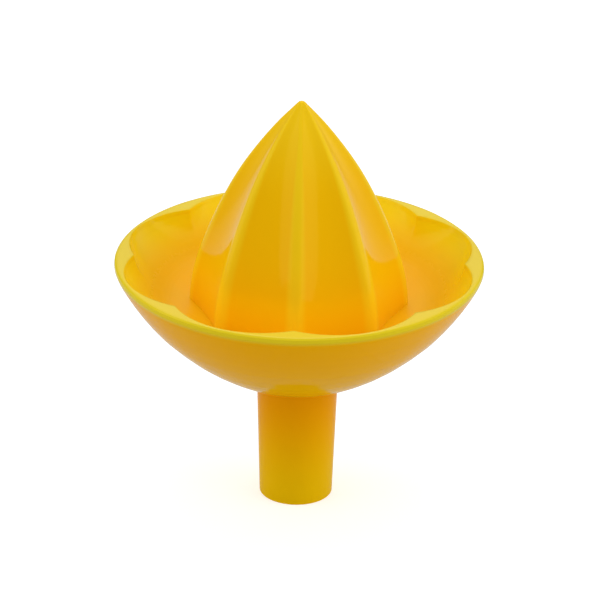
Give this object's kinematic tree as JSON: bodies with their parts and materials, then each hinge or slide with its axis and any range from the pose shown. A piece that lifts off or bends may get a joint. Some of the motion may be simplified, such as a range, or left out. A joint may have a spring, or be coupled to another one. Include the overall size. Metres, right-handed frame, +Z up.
{
  "type": "citrus reamer cone",
  "caption": "Fluted citrus reaming cone standing in a round scalloped juice dish, on a hollow stem that drops over a powered press's spindle.",
  "frame": {"origin": "centre of the stem's lower end face, which the part stands on", "axes": "+Z up along the stem and the cone, -Y towards the viewer of the picture, +X to the viewer's right"},
  "size_m": [0.1082, 0.1082, 0.1254],
  "materials": {
    "yellow_plastic": "glossy moulded yellow plastic, slightly deeper in the hollows",
    "bush_metal": "turned, slightly dull",
    "seal_rubber": "matte black",
    "insert_brass": "machined brass",
    "screw_steel": "plain stainless"
  },
  "bodies": {
    "root": {"reamer_cone": "yellow_plastic", "juice_dish": "yellow_plastic", "under_bowl": "yellow_plastic", "drive_stem": "yellow_plastic", "spindle_bush": "bush_metal", "cone_seal": "seal_rubber", "thread_insert": "insert_brass", "screw_washer": "screw_steel", "cone_screw": "screw_steel"}
  },
  "joints": []
}
